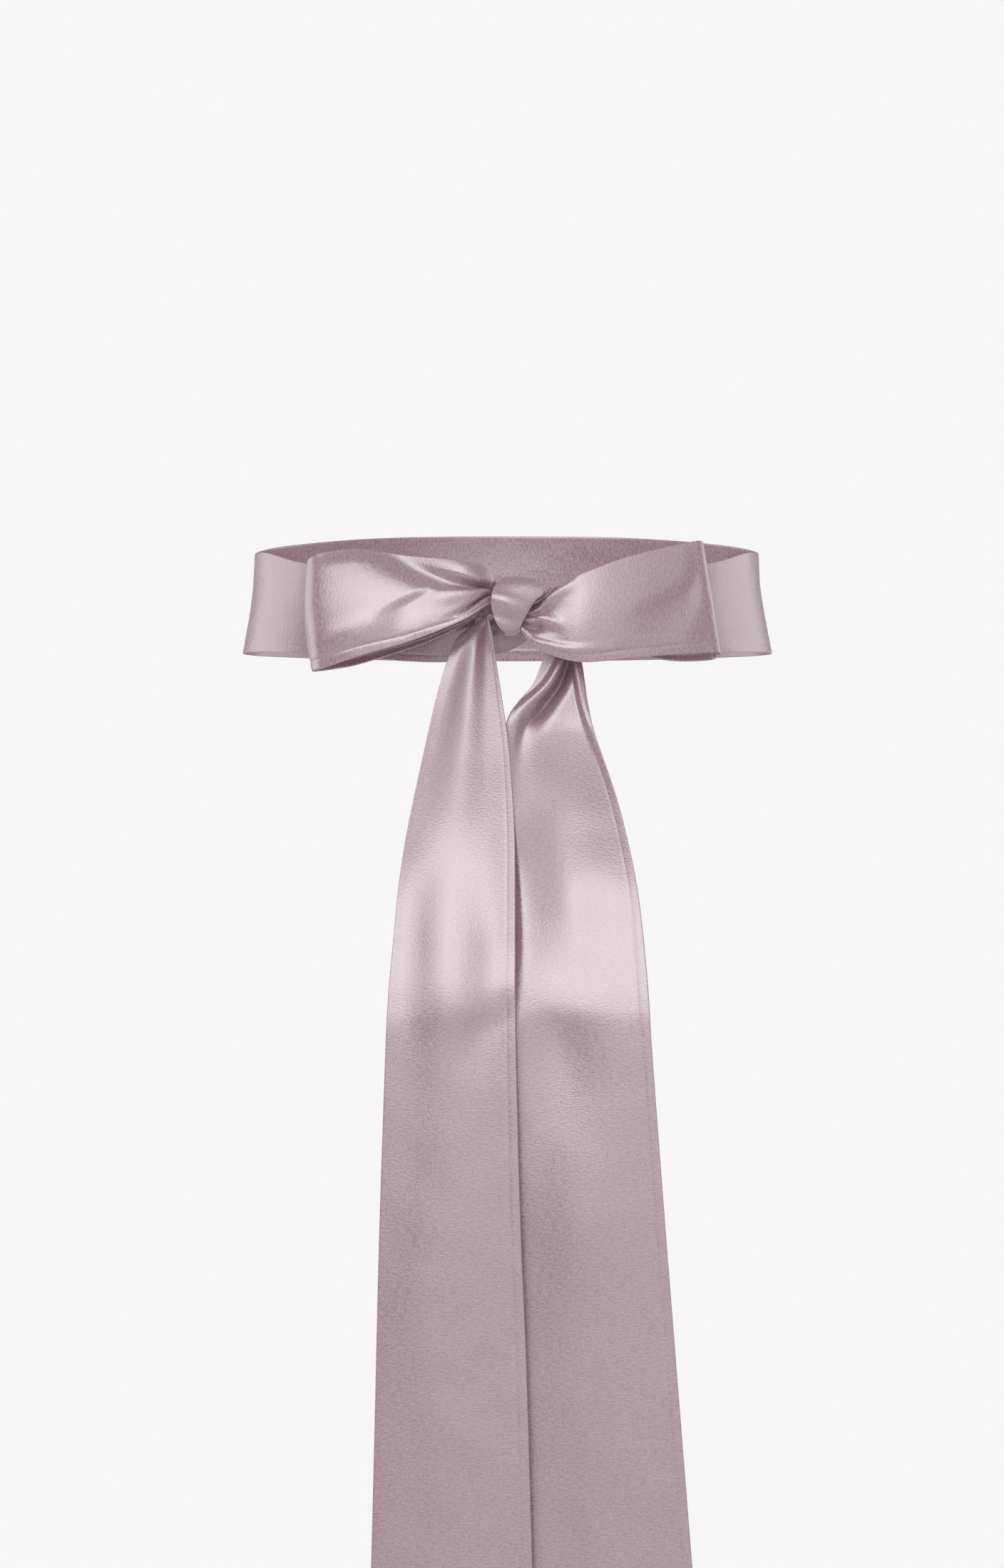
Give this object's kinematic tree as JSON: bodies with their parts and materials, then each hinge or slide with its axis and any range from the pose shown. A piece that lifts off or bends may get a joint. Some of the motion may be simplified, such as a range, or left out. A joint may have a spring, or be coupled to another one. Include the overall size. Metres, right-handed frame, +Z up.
{
  "type": "satin sash",
  "caption": "Satin waist sash as worn: a flat band round the waist, tied behind in a bow with loops and long flared tails.",
  "frame": {"origin": "middle of the waist opening, at half the height of the band at the wearer's sides", "axes": "+Z up along the wearer, +Y to the wearer's front, +X to the wearer's right; the bow lies on the -Y side"},
  "size_m": [0.2872, 0.2583, 0.7417],
  "materials": {
    "satin": "glossy dusky mauve satin, woven fine, with narrow stitched edges"
  },
  "bodies": {
    "root": {"band_front": "satin", "band_back_left": "satin", "band_back_right": "satin", "knot_tie": "satin", "knot_wrap": "satin", "loop_left": "satin", "loop_right": "satin", "tail_left": "satin", "tail_right": "satin"}
  },
  "joints": []
}
